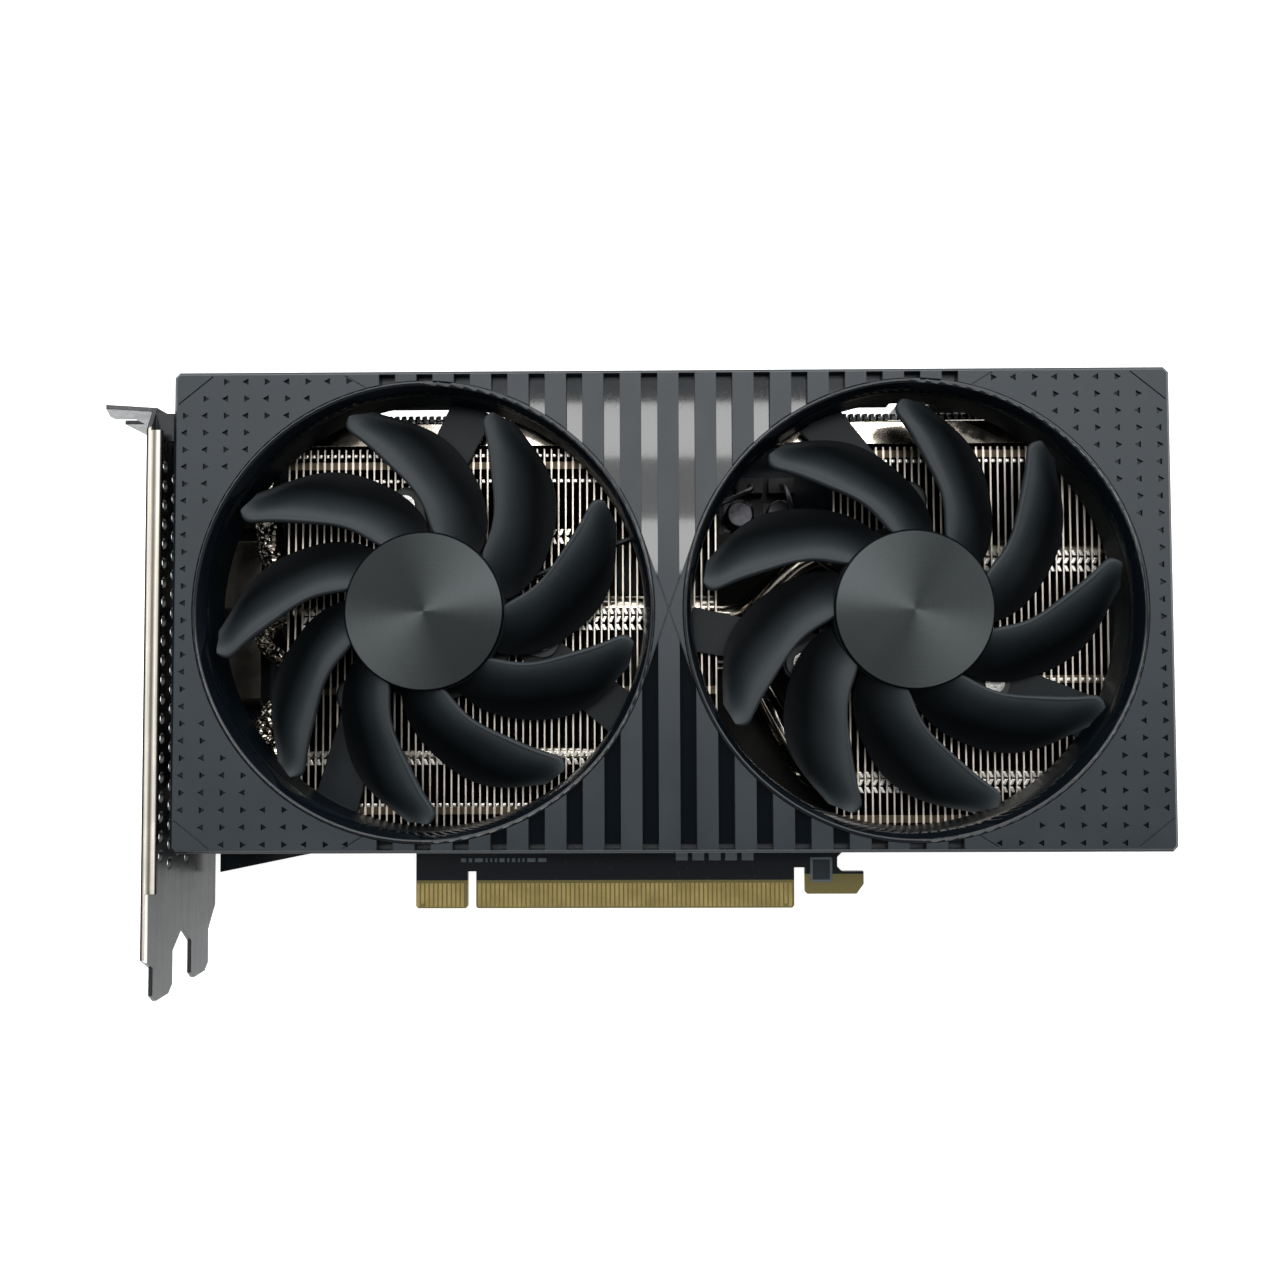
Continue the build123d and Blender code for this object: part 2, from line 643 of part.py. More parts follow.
def wall_slots():
    """Air leaves through slots in the long walls, clear of the fans, and in the right wall."""
    slots = []
    for x in (-47, -40, 33, 40, 47, 54, 124, 131):
        for y in (SHROUD_LOW, SHROUD_HIGH):
            slots.append(block(x - 2, x + 2, y - 3, y + 3, 11, 21))
    for i in range(9):
        y = MIDDLE_Y + (i - 4) * 8.4
        slots.append(block(SHROUD_RIGHT - 3, SHROUD_RIGHT + 2, y - 2.6, y + 2.6, 11, 28))
    slots.append(block(POWER_X - 11, POWER_X + 11, SHROUD_HIGH - 3, SHROUD_HIGH + 1, 0, 13.4))
    return slots


def post_foot(x):
    """Left posts stand on the board; right ones pass its end and stand on the back plate."""
    return 0 if x < BOARD_RIGHT else -BOARD_THICK


def end_skirt():
    """Past the end of the board the right wall runs down to the back plate."""
    low, high = SKIRT_SPAN_Y
    return block(SHROUD_RIGHT - SHROUD_WALL, SHROUD_RIGHT, low, high,
                 BACKPLATE_BACK + BACKPLATE_THICK + SKIRT_GAP, SHROUD_EDGE_Z + 1)


def make_shroud_cover():
    wall = SHROUD_WALL
    outer = block(SHROUD_LEFT, SHROUD_RIGHT, SHROUD_LOW, SHROUD_HIGH, SHROUD_EDGE_Z, SHROUD_FRONT)
    outer = chamfer(outer.edges().filter_by(Axis.Z), 1.0)
    outer = chamfer(outer.faces().sort_by(Axis.Z)[-1].edges(), 0.7)
    cover = outer - block(SHROUD_LEFT + wall, SHROUD_RIGHT - wall, SHROUD_LOW + wall,
                          SHROUD_HIGH - wall, 0, PLATE_BACK)
    cover -= block(SHROUD_LEFT - 1, SHROUD_LEFT + 3, SHROUD_LOW + wall, SHROUD_HIGH - wall, 0, 14)
    cover += end_skirt()
    cover -= stripe_cutter()
    cover -= fan_discs(RIM_RADIUS, PLATE_BACK - 1, SHROUD_FRONT + 1)
    cover -= panel_lines()
    cover -= dot_cutter()
    cover -= wall_slots()
    for x, y in SHROUD_POSTS:
        foot = post_foot(x)
        cover += rod(x, y, POST_RADIUS, foot, PLATE_BACK + 0.2)
        cover -= rod(x, y, 1.25, foot - 1, foot + 6)
    return cover


def duct_ring(x):
    """Ring round one fan, bell-mouthed at the front with a rounded rim."""
    outer = RIM_RADIUS - 0.05
    front = SHROUD_FRONT + 0.2
    profile = make_face(
        Line((DUCT_THROAT, DUCT_BACK), (outer, DUCT_BACK))
        + Line((outer, DUCT_BACK), (outer, front - 0.3))
        + ThreePointArc((outer, front - 0.3), ((outer + DUCT_MOUTH) / 2, front), (DUCT_MOUTH, front - 0.4))
        + ThreePointArc((DUCT_MOUTH, front - 0.4), (DUCT_THROAT + 0.35, front - 2.6), (DUCT_THROAT, front - 5))
        + Line((DUCT_THROAT, front - 5), (DUCT_THROAT, DUCT_BACK))
    )
    ring = revolve(Plane.XZ * profile, Axis.Z)
    return Pos(x, MIDDLE_Y, 0) * ring


def carrier_arm(x, ear_angle, end_angle):
    """A flat arm from one fan screw out to the duct ring, leaning to one side."""
    start = polar(x, MIDDLE_Y, FAN_EAR_RADIUS - 4.4, ear_angle)
    end = polar(x, MIDDLE_Y, DUCT_THROAT + 0.6, end_angle)
    dx = end[0] - start[0]
    dy = end[1] - start[1]
    length = math.hypot(dx, dy)
    nx = -dy / length
    ny = dx / length
    points = [
        (start[0] + 3.8 * nx, start[1] + 3.8 * ny), (start[0] - 3.8 * nx, start[1] - 3.8 * ny),
        (end[0] - 4.6 * nx, end[1] - 4.6 * ny), (end[0] + 4.6 * nx, end[1] + 4.6 * ny),
    ]
    arm = slab(points, FAN_BASE_Z - 1.3, FAN_BASE_Z)
    arm += rod(*polar(x, MIDDLE_Y, FAN_EAR_RADIUS, ear_angle), 4.0, FAN_BASE_Z - 1.3, FAN_BASE_Z)
    return arm & rod(x, MIDDLE_Y, DUCT_THROAT + 0.8, 0, 40)


def make_shroud_frame():
    """Gloss inner moulding: the floor of the stripes, both duct rings and the fan carriers."""
    low = SHROUD_LOW + SHROUD_WALL + 0.1
    high = SHROUD_HIGH - SHROUD_WALL - 0.1
    first = stripe_middles()[0] - 4
    last = stripe_middles()[-1] + 4
    plate = block(first, last, low, high, PLATE_BACK - 1.2, PLATE_BACK)
    plate -= fan_discs(RIM_RADIUS - 1, 0, 40)
    frame = plate.fuse(*[duct_ring(x) for x in FAN_X.values()])
    for side, x in FAN_X.items():
        for ear, end in zip(EAR_ANGLES[side], ARM_ENDS[side]):
            frame += carrier_arm(x, ear, end)
        for ear in EAR_ANGLES[side]:
            frame -= rod(*polar(x, MIDDLE_Y, FAN_EAR_RADIUS, ear), 1.0, 0, 40)
    return frame


# ---- back plate ----


def make_backplate():
    top = BACKPLATE_BACK + BACKPLATE_THICK
    plate = block(-54, SHROUD_RIGHT - 0.6, 15.0, 110.4, BACKPLATE_BACK, top)
    plate = chamfer(plate.edges().filter_by(Axis.Z), 3.0)
    for i in range(BACK_VENTS):
        y = BACK_VENT_LOW_Y + i * BACK_VENT_PITCH
        slot = Box(BACK_VENT_LONG, BACK_VENT_WIDE, 6)
        plate -= Pos(BACK_VENT_X, y, BACKPLATE_BACK) * Rot(0, 0, BACK_VENT_TILT) * slot
    plate -= block(GPU_X - 17, GPU_X + 17, GPU_Y - 17, GPU_Y + 17, -6, 0)
    for x, y in board_holes()[:4]:
        plate -= rod(x, y, 4.4, -6, 0)
    for x, y in list(BACKPLATE_SCREWS) + list(SHROUD_POSTS):
        plate += rod(x, y, 3.6, BACKPLATE_BACK, -BOARD_THICK)
        plate -= rod(x, y, 1.4, -6, 1)
        plate -= rod(x, y, 2.6, -6, BACKPLATE_BACK + SCREW_HEAD + 0.1)
    return plate


def make_backplate_screws():
    return group(cross_screw(x, y, 2.4, BACKPLATE_BACK + 0.1, 0, 1.2) for x, y in BACKPLATE_SCREWS)


def make_shroud_screws():
    pieces = []
    for x, y in SHROUD_POSTS:
        pieces.append(cross_screw(x, y, 2.4, BACKPLATE_BACK + 0.1, post_foot(x) + 5, 1.2))
    return group(pieces)


def make_cooler_screws():
    return group(cross_screw(x, y, 3.4, BACKPLATE_BACK + 0.1, PLATE_Z + 0.6, 1.2)
                 for x, y in board_holes()[:4])


def make_spring_washers():
    seat = BACKPLATE_BACK + SCREW_HEAD + 0.1
    return group(tube(x, y, 2.6, 1.6, seat, -BOARD_THICK) for x, y in board_holes()[:4])


# ---- fans ----


def make_fan_base(side):
    """Fixed dish with three screw ears and the tube that holds the bearing."""
    x = FAN_X[side]
    y = MIDDLE_Y
    base = rod(x, y, 18.0, FAN_BASE_Z, FAN_BASE_Z + 1)
    for angle in EAR_ANGLES[side]:
        ear = polar(x, y, FAN_EAR_RADIUS, angle)
        root = polar(x, y, 15, angle)
        turn = math.radians(angle)
        nx = -math.sin(turn) * 3.4
        ny = math.cos(turn) * 3.4
        base += slab([(root[0] + nx, root[1] + ny), (root[0] - nx, root[1] - ny),
                      (ear[0] - nx, ear[1] - ny), (ear[0] + nx, ear[1] + ny)], FAN_BASE_Z, FAN_BASE_Z + 1)
        base += rod(*ear, 3.4, FAN_BASE_Z, FAN_BASE_Z + 1)
        base -= rod(*ear, 1.2, 0, 40)
    base += rod(x, y, 4.0, FAN_BASE_Z, 31.0)
    base -= rod(x, y, 2.4, FAN_BASE_Z + 0.8, 32)
    return base


def make_fan_screws(side):
    ears = [polar(FAN_X[side], MIDDLE_Y, FAN_EAR_RADIUS, angle) for angle in EAR_ANGLES[side]]
    return group(cross_screw(*ear, 2.0, FAN_BASE_Z + 2, FAN_BASE_Z - 1.3, 0.95) for ear in ears)


def make_bearing(x):
    return tube(x, MIDDLE_Y, 2.4, SHAFT_RADIUS + SHAFT_GAP, FAN_BASE_Z + 1.2, 31.0)


def make_fan_circuit(x):
    return tube(x, MIDDLE_Y, 13.5, 4.0, FAN_BASE_Z + 1, FAN_BASE_Z + 1.8)


def make_stator(x):
    """Four steel teeth with wide shoes."""
    y = MIDDLE_Y
    z0 = 26.6
    z1 = 29.4
    core = rod(x, y, 5.6, z0, z1)
    for i in range(4):
        tooth = Pos(x, y, 0) * Rot(0, 0, 90 * i) * block(5, 10.4, -1.6, 1.6, z0, z1)
        core += tooth
    shoe = tube(x, y, 11.5, 10.2, z0, z1)
    for i in range(4):
        shoe -= Pos(x, y, 0) * Rot(0, 0, 90 * i + 45) * block(5, 14, -1.4, 1.4, z0 - 1, z1 + 1)
    return (core + shoe) - rod(x, y, 4.0, 0, 40)


def make_coils(x):
    """One copper winding round each tooth."""
    pieces = []
    for i in range(4):
        coil = block(6.0, 9.8, -2.8, 2.8, 25.8, 30.2) - block(5, 11, -1.6, 1.6, 26.6, 29.4)
        pieces.append(Pos(x, MIDDLE_Y, 0) * Rot(0, 0, 90 * i) * coil)
    return group(pieces)


def blade_section(radius, leading, trailing, turn):
    """Closed outline across one blade: round nose in front, thin tail behind and below."""
    chord = radius * math.radians(leading - trailing)
    drop = 0.5 * chord + 0.3
    middle = math.radians(turn + (leading + trailing) / 2)
    plane = Plane(origin=(radius * math.cos(middle), radius * math.sin(middle), LEADING_Z),
                  x_dir=(-math.sin(middle), math.cos(middle), 0),
                  z_dir=(math.cos(middle), math.sin(middle), 0))
    thick = min(BLADE_THICK, 0.28 * chord)
    half = chord / 2

    upper = [(half - share * chord, -fall * drop) for share, fall, _ in BLADE_CURVE]
    lower = [(half - share * chord, -fall * drop - part * thick) for share, fall, part in BLADE_CURVE]
    top = Spline(*upper)
    tail = Line(upper[-1], lower[-1])
    bottom = Spline(*reversed(lower))
    nose = ThreePointArc(lower[0], (half + 0.02 * chord, -0.55 * thick), upper[0])
    return plane * make_face(top + tail + bottom + nose)


def make_blade(turn):
    return loft([blade_section(r, a, b, turn) for r, a, b in BLADE_STATIONS])


def make_rotor(side):
    hub = rod(0, 0, HUB_RADIUS, HUB_BACK, HUB_TOP)
    hub -= rod(0, 0, HUB_RADIUS - 1.1, HUB_BACK - 1, HUB_TOP - 1.2)
    hub += rod(0, 0, 3.4, HUB_TOP - 2.0, HUB_TOP - 1)
    hub -= rod(0, 0, SHAFT_RADIUS, HUB_BACK, HUB_TOP - 0.3)
    blades = [make_blade(FAN_TURN[side] + i * 360 / BLADES) for i in range(BLADES)]
    core = rod(0, 0, HUB_RADIUS - 0.4, HUB_BACK - 9, HUB_TOP + 9)
    return Pos(FAN_X[side], MIDDLE_Y, 0) * hub.fuse(*[blade - core for blade in blades])


def make_fan_cap(x):
    cap = rod(x, MIDDLE_Y, HUB_RADIUS, HUB_TOP, CAP_TOP)
    return chamfer(cap.edges().sort_by(Axis.Z)[-1], 0.25)


def save_fan(side):
    x = FAN_X[side]
    save(f"fan_base_{side}", make_fan_base(side))
    save(f"fan_screws_{side}", make_fan_screws(side))
    save(f"fan_bearing_{side}", make_bearing(x))
    save(f"fan_circuit_{side}", make_fan_circuit(x))
    save(f"fan_stator_{side}", make_stator(x))
    save(f"fan_coils_{side}", make_coils(x))
    save(f"fan_rotor_{side}", make_rotor(side))
    save(f"fan_shaft_{side}", rod(x, MIDDLE_Y, SHAFT_RADIUS, FAN_BASE_Z + 1.4, HUB_TOP - 0.3))
    save(f"fan_yoke_{side}", tube(x, MIDDLE_Y, HUB_RADIUS - 1.1, 13.9, HUB_BACK + 0.2, HUB_TOP - 1.2))
    save(f"fan_magnet_{side}", tube(x, MIDDLE_Y, 13.9, 12.3, HUB_BACK + 0.2, 31.6))
    save(f"fan_cap_{side}", make_fan_cap(x))
    save(f"fan_cable_{side}", make_cable(side))


def save_card():
    save("circuit_board", make_board())
    save("edge_contacts", make_contacts())
    save("gpu_substrate", block(GPU_X - 18.5, GPU_X + 18.5, GPU_Y - 18.5, GPU_Y + 18.5, 0, 1.4))
    save("gpu_die", block(GPU_X - 9, GPU_X + 9, GPU_Y - 8, GPU_Y + 8, 1.4, PLATE_Z))
    save("memory_chips", make_memory_chips())
    save("memory_pads", make_memory_pads())
    save("power_chokes", make_chokes())
    save("power_stages", make_power_stages())
    save("power_stage_pad", make_power_stage_pad())
    save("capacitors", make_capacitors())
    save("power_socket", make_power_socket())
    save("power_pins", make_power_pins())
    save("fan_headers", make_fan_headers())
    save("displayport_shells", group(make_port_shell(displayport_outline, y) for y in DISPLAYPORT_Y))
    save("displayport_tongues", group(make_displayport_tongue(y) for y in DISPLAYPORT_Y))
    save("hdmi_shell", make_port_shell(hdmi_outline, HDMI_Y))
    save("hdmi_tongue", make_hdmi_tongue(HDMI_Y))
    save("io_bracket", make_bracket())
    save("bracket_screws", make_bracket_screws())


def save_cooler():
    save("base_block", make_base_block())
    save("cooler_frame", make_cooler_frame())
    for name in pipe_rows():
        save(f"heat_pipe_{name}", make_pipe(name))
    save("fin_stack_left", make_left_fins())
    save("fin_stack_right", make_right_fins())
    save("cooler_screws", make_cooler_screws())
    save("spring_washers", make_spring_washers())


def save_covers():
    save("shroud_cover", make_shroud_cover())
    save("shroud_frame", make_shroud_frame())
    save("shroud_screws", make_shroud_screws())
    save("backplate", make_backplate())
    save("backplate_screws", make_backplate_screws())


os.makedirs("parts", exist_ok=True)
save_card()
save_cooler()
save_covers()
for fan_side in FAN_X:
    save_fan(fan_side)
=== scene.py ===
import json
import math
import random

import bmesh
import bpy
from mathutils import Matrix, Vector


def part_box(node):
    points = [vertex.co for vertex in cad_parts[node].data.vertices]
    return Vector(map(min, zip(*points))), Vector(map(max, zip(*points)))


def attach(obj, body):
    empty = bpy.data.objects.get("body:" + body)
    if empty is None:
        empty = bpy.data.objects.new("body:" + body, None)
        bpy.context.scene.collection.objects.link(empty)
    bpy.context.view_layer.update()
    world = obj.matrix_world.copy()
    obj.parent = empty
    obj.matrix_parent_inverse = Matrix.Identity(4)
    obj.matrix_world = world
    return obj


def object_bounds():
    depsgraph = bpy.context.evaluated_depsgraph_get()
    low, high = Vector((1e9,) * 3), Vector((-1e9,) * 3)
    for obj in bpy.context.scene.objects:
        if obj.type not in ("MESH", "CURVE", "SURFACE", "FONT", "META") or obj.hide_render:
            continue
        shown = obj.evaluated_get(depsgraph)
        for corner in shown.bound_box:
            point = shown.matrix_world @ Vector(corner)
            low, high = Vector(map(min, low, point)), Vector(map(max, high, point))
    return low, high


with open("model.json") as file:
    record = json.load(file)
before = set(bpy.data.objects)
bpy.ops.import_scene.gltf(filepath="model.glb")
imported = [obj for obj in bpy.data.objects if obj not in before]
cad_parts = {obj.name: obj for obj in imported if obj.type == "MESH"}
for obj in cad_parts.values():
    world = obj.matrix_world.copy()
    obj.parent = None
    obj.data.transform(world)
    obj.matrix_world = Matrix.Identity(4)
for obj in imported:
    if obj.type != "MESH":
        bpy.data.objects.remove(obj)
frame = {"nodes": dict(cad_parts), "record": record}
cad_low, cad_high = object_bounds()

MM = 0.001
NODES = frame["nodes"]
SLOT_OF = {part["node"]: part["material_slot"] for part in frame["record"]["subparts"]}
FIN_STACKS = {side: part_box(f"fin_stack_{side}") for side in ("left", "right")}

# Sizes in millimetres, in the CAD's own frame.
FIN_PITCH = 1.5
FIN_THICK = 0.35
FIN_EDGE = 0.05
FIN_FRONT = FIN_STACKS["left"][1].z / MM
LIP_MIDDLE = -58.83

# Where a material changes along an axis, in millimetres: it starts at one place and ends at the other.
POCKET_LOW_Z = (34.4, 34.5)
POCKET_HIGH_Z = (34.70, 34.76)
DUCT_DARK_Z = (30.5, 32.5)
BLADE_SHADE_Z = (27.5, 33.2)
FIN_SHADE_Z = (FIN_FRONT - 0.9, FIN_FRONT - 0.08)
PIPE_BENT_X = (-38.0, -33.0)
LIP_Z = (33.2, 33.6)
LIP_END_Y = (101.6, 102.4)
LIP_VALLEY = (0.15, 0.60)
LIP_BORDER = (1.02, 1.28)
BARE_EDGE_Y = (6.2, 6.3)
HOOK_Y = (7.5, 7.6)
HOOK_X = (74.0, 74.1)

# Where the cap's dark outline, a painted shadow in the gap round it, starts and ends, as a share of its
# width.
CAP_GAP_SHADE = (0.486, 0.490)


# ---- node trees ----


class Look:
    """One procedural material: a Principled shader and the nodes that feed it."""

    def __init__(self, name, colour, metallic=0.0, roughness=0.5, **settings):
        self.material = bpy.data.materials.new(name)
        self.material.use_nodes = True
        self.tree = self.material.node_tree
        self.shader = self.tree.nodes["Principled BSDF"]
        self.set("Base Color", (*colour, 1.0))
        self.set("Metallic", metallic)
        self.set("Roughness", roughness)
        for socket, value in settings.items():
            self.set(socket.replace("_", " "), value)
        self.place = self.add("TexCoord").outputs["Object"]

    def set(self, socket, value):
        self.feed(self.shader, socket, value)

    def fed(self, socket):
        """What feeds one of the shader's own sockets now."""
        return self.shader.inputs[socket].links[0].from_socket

    def feed(self, node, socket, value):
        if isinstance(value, bpy.types.NodeSocket):
            self.tree.links.new(value, node.inputs[socket])
        else:
            node.inputs[socket].default_value = value

    def add(self, kind, inputs=None, **attributes):
        node = self.tree.nodes.new("ShaderNode" + kind)
        for name, value in attributes.items():
            setattr(node, name, value)
        for socket, value in (inputs or {}).items():
            self.feed(node, socket, value)
        return node

    def maths(self, operation, a, b=0.0, clamp=False):
        node = self.add("Math", {0: a, 1: b}, operation=operation, use_clamp=clamp)
        return node.outputs[0]

    def axis(self, letter):
        if not hasattr(self, "split"):
            self.split = self.add("SeparateXYZ", {"Vector": self.place})
        return self.split.outputs[letter]

    def stretched(self, scale, turn=0.0):
        """The object's coordinates, scaled apart along each axis."""
        node = self.add("Mapping", {"Vector": self.place, "Scale": scale, "Rotation": (0, 0, turn)})
        return node.outputs["Vector"]

    def noise(self, scale, detail=2.0, roughness=0.5, vector=None):
        node = self.add("TexNoise", {"Vector": vector or self.place, "Scale": scale, "Detail": detail,
                                     "Roughness": roughness})
        return node.outputs["Fac"]

    def spots(self, scale, vector=None):
        node = self.add("TexVoronoi", {"Vector": vector or self.place, "Scale": scale})
        return node.outputs["Distance"]

    def between(self, factor, low, high, start=0.0, end=1.0):
        """factor from start to end becomes a number from low to high."""
        node = self.add("MapRange", {"Value": factor, "From Min": start, "From Max": end,
                                     "To Min": low, "To Max": high}, clamp=True)
        return node.outputs["Result"]

    def rise(self, source, span):
        """0 before the span, in millimetres, and 1 after it."""
        return self.between(source, 0.0, 1.0, span[0] * MM, span[1] * MM)

    def fall(self, source, span):
        """1 before the span, in millimetres, and 0 after it."""
        return self.between(source, 1.0, 0.0, span[0] * MM, span[1] * MM)

    def blend(self, factor, a, b):
        """The number a where factor is 0 and b where it is 1."""
        return self.add("Mix", {0: factor, 2: a, 3: b}).outputs[0]

    def mix(self, factor, a, b):
        node = self.add("Mix", data_type="RGBA")
        self.feed(node, 0, factor)
        for index, value in ((6, a), (7, b)):
            if not isinstance(value, bpy.types.NodeSocket):
                value = (*value[:3], 1.0)
            self.feed(node, index, value)
        return node.outputs[2]

    def edges(self, radius):
        """A rounded normal at hard edges, and how near a point is to one."""
        bevel = self.add("Bevel", {"Radius": radius}, samples=4)
        normal = self.add("NewGeometry").outputs["Normal"]
        dot = self.add("VectorMath", {0: bevel.outputs["Normal"], 1: normal}, operation="DOT_PRODUCT")
        return bevel.outputs["Normal"], self.between(dot.outputs["Value"], 1.0, 0.0, 0.75, 0.995)

    def bump(self, height, depth, normal=None, strength=1.0):
        node = self.add("Bump", {"Height": height, "Distance": depth, "Strength": strength})
        if normal:
            self.feed(node, "Normal", normal)
        return node.outputs["Normal"]


def shade(colour, factor):
    return tuple(min(1.0, c * factor) for c in colour)


def grainy(look, roughness, spread, fine, broad):
    """Roughness that wanders by spread, with a fine and a broad noise together."""
    both = look.maths("ADD", fine, broad)
    look.set("Roughness", look.between(both, roughness - spread, roughness + spread, 0.7, 1.3))


def moulded(name, colour, roughness, grain, depth, edge_wear_and_glint=1.6, radius=0.25, spread=0.06, **settings):
    """Moulded or painted plastic: fine grain, uneven sheen and slightly lighter edges, partly wear and
    partly a painted highlight.
    """
    look = Look(name, colour, roughness=roughness, **settings)
    fine = look.noise(grain, 3.0, 0.6)
    broad = look.noise(90.0, 3.0)
    rounded, near = look.edges(radius * MM)
    tint = look.mix(look.between(broad, 0, 1, 0.3, 0.7), shade(colour, 0.88), shade(colour, 1.12))
    # Lighter along the edges: partly wear, partly a painted highlight.
    look.set("Base Color", look.mix(near, tint, shade(colour, edge_wear_and_glint)))
    grainy(look, roughness, spread, fine, broad)
    look.set("Normal", look.bump(fine, depth * MM, rounded))
    return look


def metal(name, colour, roughness, grain=(900.0, 900.0, 900.0), depth=0.002, tarnish=0.75,
          radius=0.15, spread=0.08, **settings):
    """Plated or bare metal: drawn grain, patches of tarnish and bright edges, partly wear and partly a
    painted highlight.
    """
    look = Look(name, colour, metallic=1.0, roughness=roughness, **settings)
    lines = look.noise(1.0, 4.0, 0.65, look.stretched(grain))
    patches = look.noise(160.0, 4.0, 0.6)
    rounded, near = look.edges(radius * MM)
    stain = look.between(patches, 0, 1, 0.35, 0.7)
    tint = look.mix(stain, shade(colour, tarnish), shade(colour, 1.06))
    # Brighter along the edges: partly wear, partly a painted highlight.
    look.set("Base Color", look.mix(near, tint, shade(colour, 1.2)))
    grainy(look, roughness, spread, lines, patches)
    look.set("Normal", look.bump(lines, depth * MM, rounded))
    return look


# ---- materials ----


def shroud_matte(name):
    """Spark-eroded cover; the floors of its small pockets are polished, and painted darker as shade in the
    recesses.
    """
    look = moulded(name, (0.0115, 0.0172, 0.0220), 0.41, 4200.0, 0.010, edge_wear_and_glint=1.5, radius=0.12)
    height = look.axis("Z")
    floor = look.maths("MULTIPLY", look.fall(height, POCKET_HIGH_Z), look.rise(height, POCKET_LOW_Z))
    # The pocket floors are painted darker: painted shade in the recesses, together with their polish.
    look.set("Base Color", look.mix(floor, look.fed("Base Color"), (0.003, 0.004, 0.006)))
    look.set("Roughness", look.blend(floor, look.fed("Roughness"), 0.1))
    look.set("Specular IOR Level", look.between(floor, 0.5, 0.16))
    return look


def facing_front(look):
    """1 on faces that look out of the card's front, and 0 on walls."""
    normal = look.add("NewGeometry").outputs["Normal"]
    outward = look.add("SeparateXYZ", {"Vector": normal}).outputs["Z"]
    return look.between(outward, 0.0, 1.0, 0.6, 0.9)


def shroud_gloss(name):
    """Polished moulding: mirror black in front, satin down the ducts and on the arms inside; the arms'
    front faces are painted lighter as if lit, and the edges carry a painted highlight.
    """
    colour = (0.0025, 0.0040, 0.0060)
    look = Look(name, colour, roughness=0.05)
    dust = look.noise(2600.0, 2.0, 0.7)
    wave = look.noise(55.0, 2.0)
    rounded, near = look.edges(0.2 * MM)
    deep = look.fall(look.axis("Z"), DUCT_DARK_Z)
    lit_arm_faces = facing_front(look)
    lit_face_tone = look.mix(dust, (0.0050, 0.0075, 0.0092), (0.0095, 0.0130, 0.0150))
    # Front-facing faces of the arms are painted lighter than the walls: painted light on their lit faces.
    inner = look.mix(lit_arm_faces, (0.0024, 0.0045, 0.0066), lit_face_tone)
    # Edges in front are 3.5 times the base colour: a painted highlight.
    look.set("Base Color", look.mix(deep, look.mix(near, colour, shade(colour, 3.5)), inner))
    look.set("Roughness", look.blend(deep, look.between(dust, 0.025, 0.07, 0.3, 0.75), 0.42))
    level = look.maths("MAXIMUM", look.between(deep, 0.5, 0.04), look.between(lit_arm_faces, 0.0, 0.22))
    look.set("Specular IOR Level", level)
    look.set("Normal", look.bump(wave, 0.008 * MM, rounded, 0.4))
    return look


def rotor_black(name):
    """Satin blades with a fine mould grain, duller down their backs and painted darker there as shade."""
    look = moulded(name, (0.0120, 0.0168, 0.0198), 0.54, 3800.0, 0.006, edge_wear_and_glint=1.0, radius=0.06,
                   Specular_IOR_Level=0.45)
    above_blade_shade = look.rise(look.axis("Z"), BLADE_SHADE_Z)
    # Below BLADE_SHADE_Z the blades are painted dark: painted shade down their backs.
    look.set("Base Color", look.mix(above_blade_shade, (0.0012, 0.0020, 0.0026), look.fed("Base Color")))
    look.set("Specular IOR Level", look.between(above_blade_shade, 0.10, 0.38))
    return look


def from_middle(look):
    """How far a point is from the middle of the piece seen from the front, as a share of its width."""
    middle = look.add("TexCoord").outputs["Generated"]
    flat = look.add("Mapping", {"Vector": middle, "Location": (-0.5, -0.5, 0.0), "Scale": (1, 1, 0)})
    return look.add("VectorMath", {0: flat.outputs["Vector"]}, operation="LENGTH").outputs["Value"]


def cap_spun(name):
    """Disc with fine turned rings, which spread the light into fans round its middle."""
    colour = (0.046, 0.051, 0.052)
    look = Look(name, colour, metallic=1.0, roughness=0.3, Anisotropic=0.92,
                Anisotropic_Rotation=0.25)
    look.set("Tangent", look.add("Tangent", direction_type="RADIAL", axis="Z").outputs["Tangent"])
    reach = from_middle(look)
    rings = look.add("TexNoise", {"W": reach, "Scale": 260.0, "Detail": 3.0, "Roughness": 0.7},
                     noise_dimensions="1D").outputs["Fac"]
    rounded, near = look.edges(0.2 * MM)
    tint = look.mix(look.between(rings, 0, 1, 0.3, 0.7), shade(colour, 0.97), shade(colour, 1.03))
    # A painted highlight along the cap's edge, then a painted shadow in the gap round the cap.
    painted_edges = look.mix(near, tint, (0.08, 0.085, 0.085))
    gap = look.between(reach, 0.0, 1.0, *CAP_GAP_SHADE)
    look.set("Base Color", look.mix(gap, painted_edges, (0.004, 0.005, 0.006)))
    look.set("Roughness", look.between(rings, 0.272, 0.288, 0.3, 0.7))
    look.set("Normal", look.bump(rings, 0.0005 * MM, rounded))
    return look


def past_fin(look, first):
    """How far a point is past the left face of its own fin; the whole pitches keep it above zero."""
    pitch = FIN_PITCH * MM
    whole = 100 * pitch
    shift = look.maths("SUBTRACT", look.axis("X"), first - FIN_EDGE * MM)
    return look.maths("MODULO", look.maths("ADD", shift, whole), pitch)


